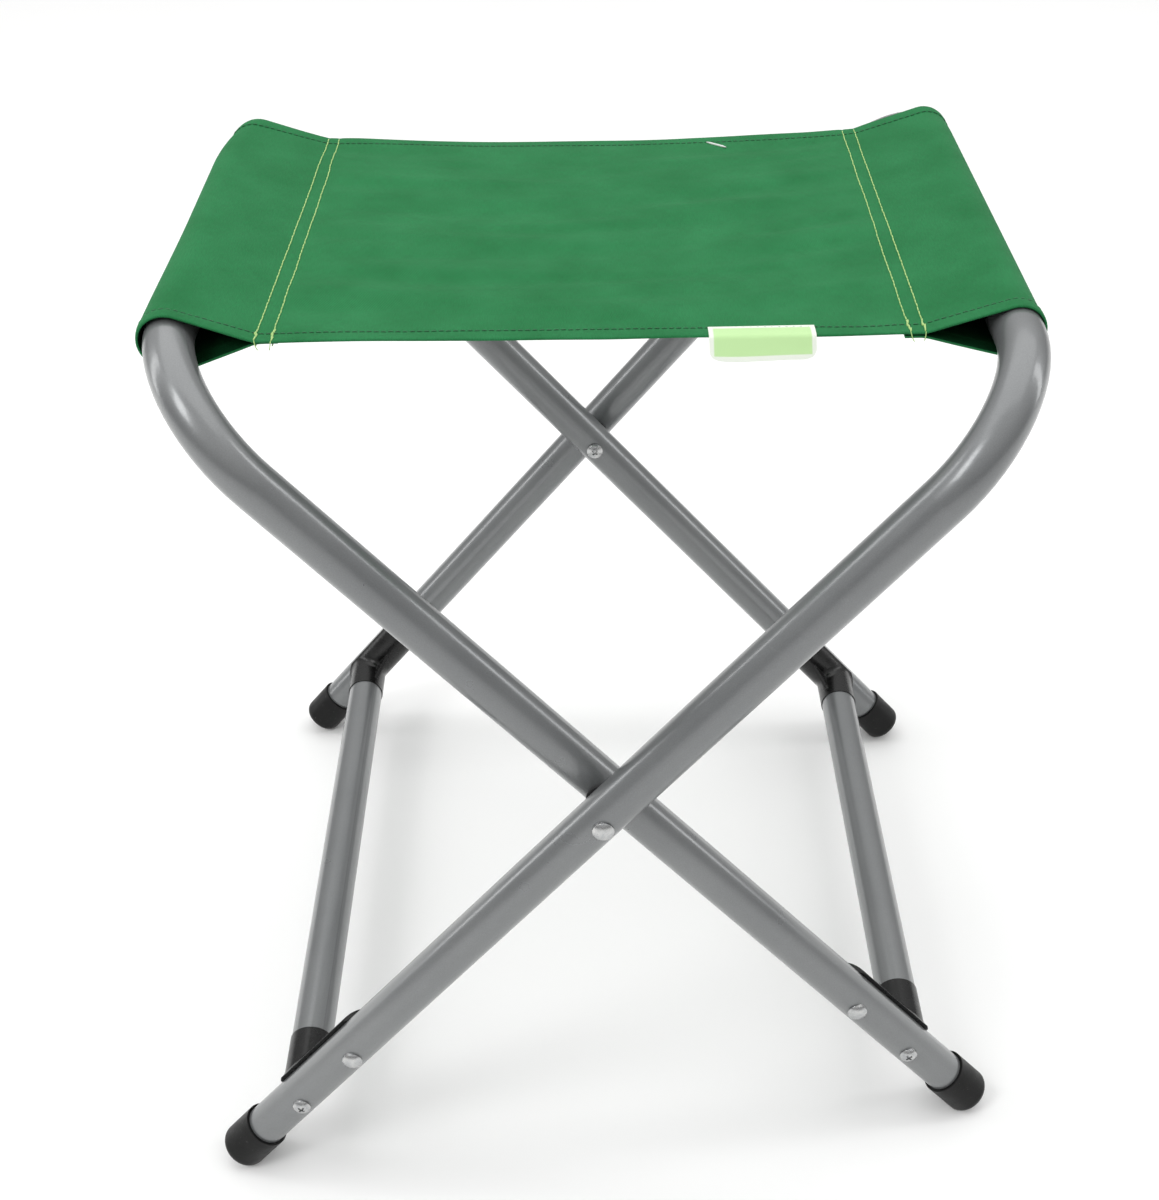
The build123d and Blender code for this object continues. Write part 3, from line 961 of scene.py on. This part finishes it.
def cloth_material(name, tone):
    """Green woven polyester: plain weave, slubs, soft colour changes and a slight sheen.

    A tone below 1 darkens its colour, sheen and specular as painted shade; that copy goes on the
    cloth's reverse, inside the sleeves, where the tubes shade the cloth."""
    n = Nodes(name)
    # A tone below 1 darkens these colours as painted shade.
    dark = tuple(tone * value for value in (0.012, 0.150, 0.044))
    light = tuple(tone * value for value in (0.023, 0.198, 0.067))
    flat = flat_cloth(n)
    height = weave(n, flat, 0.0011)
    broad = n.noise(flat, 26.0, 5.0)
    colour = n.ramp(broad, (0.3, dark), (0.72, light))
    slub = n.noise(n.stretch(flat, (1, 7, 1)), 240.0, 3.0)
    cross = n.noise(n.stretch(flat, (7, 1, 1)), 240.0, 3.0)
    streak = n.ramp(n.math("MULTIPLY", n.math("ADD", slub, cross), 0.5), (0.36, 0.86), (0.64, 1.13))
    colour = n.mix(1.0, colour, streak, "MULTIPLY")
    # Painted shade in the weave: the colour darkens where the weave lies low and lightens a little
    # where it rises.
    threads = n.ramp(height, (0.15, 0.82), (0.8, 1.08))
    colour = n.mix(1.0, colour, threads, "MULTIPLY")
    rough = n.ramp(slub, (0.3, 0.62), (0.75, 0.78))
    relief = n.bump(slub, 0.00012, 0.6)
    normal = n.bump(height, 0.00016, 0.8, relief)
    # A tone below 1 also dims the sheen and specular as painted shade.
    return n.finish(
        colour, rough, normal,
        Sheen_Weight=0.05 * tone, Sheen_Roughness=0.4, Sheen_Tint=(0.55, 1.0, 0.65, 1),
        Specular_IOR_Level=0.15 * tone,
    )


def thread_material(name, dark, light):
    """Twisted polyester thread."""
    n = Nodes(name)
    twist = n.noise(n.place(), 1500.0, 3.0)
    colour = n.ramp(twist, (0.3, dark), (0.7, light))
    rough = n.ramp(twist, (0.3, 0.5), (0.7, 0.65))
    return n.finish(colour, rough, n.bump(twist, 0.0001, 0.8), Sheen_Weight=0.15)


def tag_material():
    """Blank woven tag: a light green field inside a white border."""
    n = Nodes("tag_cloth")
    at = n.split(flat_cloth(n))
    side = n.math("ABSOLUTE", n.math("SUBTRACT", at["X"], 0.5))
    end = n.math("ABSOLUTE", n.math("SUBTRACT", at["Y"], 0.5))
    inside_x = n.math("MULTIPLY", n.math("SUBTRACT", 0.462, side), 90.0, clamp=True)
    inside_y = n.math("MULTIPLY", n.math("SUBTRACT", 0.405, end), 40.0, clamp=True)
    field = n.math("MULTIPLY", inside_x, inside_y)
    colour = n.mix(field, (0.82, 0.87, 0.77), (0.52, 0.78, 0.36))
    ribs = n.math("SINE", n.math("MULTIPLY", at["X"], 700.0))
    picks = n.math("SINE", n.math("MULTIPLY", at["Y"], 330.0))
    woven = n.math("MULTIPLY_ADD", n.math("MULTIPLY", ribs, picks), 0.5, 0.5)
    # Painted shade in the weave: the colour darkens where the woven ribs lie low and lightens a little
    # where they rise.
    colour = n.mix(1.0, colour, n.ramp(woven, (0.2, 0.9), (0.8, 1.04)), "MULTIPLY")
    rough = n.ramp(woven, (0.2, 0.55), (0.8, 0.42))
    return n.finish(colour, rough, n.bump(woven, 0.00008, 0.6), Sheen_Weight=0.15)


def floor_material():
    """Pale grey floor."""
    n = Nodes("floor")
    grain = n.noise(n.place(), 3.0, 3.0)
    colour = n.ramp(grain, (0.3, (0.93, 0.93, 0.925)), (0.7, (0.95, 0.95, 0.945)))
    return n.finish(colour, 0.85)


def dress(node, material):
    """Gives a carried-over CAD part one material."""
    slots = node.material_slots
    for slot in slots:
        slot.material = material
    if not slots:
        node.data.materials.append(material)


# ---------------------------------------------------------------- studio


def add_floor():
    """A pale square floor."""
    half = 6.0
    corners = [(-half, -half, 0), (half, -half, 0), (half, half, 0), (-half, half, 0)]
    mesh = bpy.data.meshes.new("floor")
    mesh.from_pydata(corners, [], [(0, 1, 2, 3)])
    mesh.materials.append(floor_material())
    new_object("floor", mesh)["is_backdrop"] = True


def add_sky():
    """White above, darkening towards the horizon, which shades the sides of the tubes."""
    world = bpy.data.worlds.new("studio")
    bpy.context.scene.world = world
    world.use_nodes = True
    tree = world.node_tree
    coords = tree.nodes.new("ShaderNodeTexCoord")
    split = tree.nodes.new("ShaderNodeSeparateXYZ")
    sky = tree.nodes.new("ShaderNodeValToRGB")
    low, high = sky.color_ramp.elements
    low.position, low.color = 0.1, (0.3, 0.3, 0.3, 1)
    high.position, high.color = 0.75, (1, 1, 1, 1)
    background = tree.nodes["Background"]
    tree.links.new(coords.outputs["Generated"], split.inputs[0])
    tree.links.new(split.outputs["Z"], sky.inputs["Fac"])
    tree.links.new(sky.outputs["Color"], background.inputs["Color"])
    background.inputs["Strength"].default_value = 0.98


def add_lamps():
    """An overhead light, a key from the front left and a strip on each side."""
    target = Vector((0, 0, 0.28))
    lamps = (
        ("overhead", (0.1, 0.5, 2.6), (3.4, 2.6), 24),
        ("key", (-1.2, -1.1, 1.9), (0.7, 0.9), 11),
        ("strip_left", (-1.9, 0.3, 1.0), (0.35, 1.7), 7),
        ("strip_right", (1.9, 0.2, 1.1), (0.35, 1.7), 7),
    )
    for name, place, size, power in lamps:
        data = bpy.data.lights.new(name, "AREA")
        data.shape = "RECTANGLE"
        data.size, data.size_y = size
        data.energy = power
        lamp = new_object(name, data)
        lamp.location = place
        lamp.rotation_euler = (target - Vector(place)).to_track_quat("-Z", "Y").to_euler()


def add_camera():
    """A 52 mm view from the front, looking down at the seat."""
    data = bpy.data.cameras.new("camera")
    data.lens = 52.3
    data.sensor_width = 36.0
    data.shift_x = -0.0363
    view = new_object("camera", data)
    view.location = (0.0004, -0.7949, 0.7968)
    down, right, roll = 0.616, 0.017, -0.013
    turn = Euler((math.pi / 2 - down, 0, -right), "XYZ").to_matrix()
    view.rotation_euler = (turn @ Euler((0, 0, roll), "XYZ").to_matrix()).to_euler()
    bpy.context.scene.camera = view


# ---------------------------------------------------------------- assembly

CLOTH_NAMES = {"panel": "seat_cloth_panel", "left": "seat_cloth_left", "right": "seat_cloth_right"}
# What holds each piece of cloth up
RESTS_ON = {
    "panel": ["seat_cloth_left", "seat_cloth_right"],
    "left": ["inner_frame_tube"],
    "right": ["outer_frame_tube"],
}
BLENDS = {
    "panel": ("outer_frame", "inner_frame", PANEL_REACH, -PANEL_REACH),
    "right": ("outer_frame", "inner_frame", SLEEVE_START, SLEEVE_END),
    "left": ("inner_frame", "outer_frame", -SLEEVE_START, -SLEEVE_END),
}


def bend_with_frames(piece, part):
    """Bakes a piece's placement into its mesh; its part's entry in BLENDS is looked up but not
    applied.
    """
    first, second, start, end = BLENDS[part]
    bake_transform(piece)


def dress_frame():
    """Materials for every carried-over CAD part."""
    paint = paint_material("frame_paint")
    steel = steel_material()
    rubber = rubber_material()
    moulding = moulding_material()
    nylon = nylon_material("washer_nylon", (0.02, 0.02, 0.021), (0.045, 0.045, 0.046))
    # The first word found in a part's name gives its material.
    by_word = {
        "frame_tube": paint,
        "screw": steel,
        "barrel_nut": steel,
        "rivet": steel,
        "foot_cap": rubber,
        "bracket": moulding,
        "washer": nylon,
    }
    weld_angle = math.radians(52)
    for name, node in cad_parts.items():
        words = [word for word in by_word if word in name]
        if words:
            dress(node, by_word[words[0]])
        elif name.startswith("cross_tube_"):
            low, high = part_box(name)
            middle = ((low[0] + high[0]) / 2, (low[2] + high[2]) / 2)
            dress(node, paint_material(f"frame_paint_{name}", (*middle, weld_angle)))


def make_seat():
    """The cloth, its stitching, the tag and the fastener, each with its placement baked into its mesh.
    """
    # The reverse's material is painted shade: the cloth at 0.22 of its colour, sheen and specular, for
    # the inside of the sleeves, shaded by the tubes.
    cloths = [cloth_material("seat_cloth", 1.0), cloth_material("seat_cloth_reverse_painted_shade", 0.22)]
    thread_kinds = [
        thread_material("seam_thread", (0.30, 0.50, 0.13), (0.52, 0.74, 0.28)),
        thread_material("hem_thread", (0.008, 0.09, 0.03), (0.02, 0.15, 0.055)),
    ]
    threads = {part: Threads() for part in CLOTH_NAMES}
    hem_stitching(threads)
    seam_stitching(threads["panel"])
    pieces = split_cloth(CLOTH_NAMES, cloths)
    for part, piece in pieces.items():
        rows = threads[part].build(f"stitching_{part}", thread_kinds)
        for one in (piece, rows):
            bend_with_frames(one, part)
        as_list(RESTS_ON[part])
    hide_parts("seat_panel")
    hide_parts("seat_sleeve_left")
    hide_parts("seat_sleeve_right")
    tag = tag_piece(tag_material())
    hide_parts("seat_tag")
    bend_with_frames(tag, "panel")
    fastener = tag_fastener(nylon_material("clear_nylon", (0.62, 0.64, 0.62), (0.8, 0.82, 0.8)))
    bend_with_frames(fastener, "panel")


add_camera()
add_floor()
add_sky()
add_lamps()
bpy.context.scene.view_settings.view_transform = "Standard"
dress_frame()
make_seat()
boxes = {"cad": cad_box, "visual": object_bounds()}
{k: [list(map(float, corner)) for corner in v] for k, v in boxes.items()}
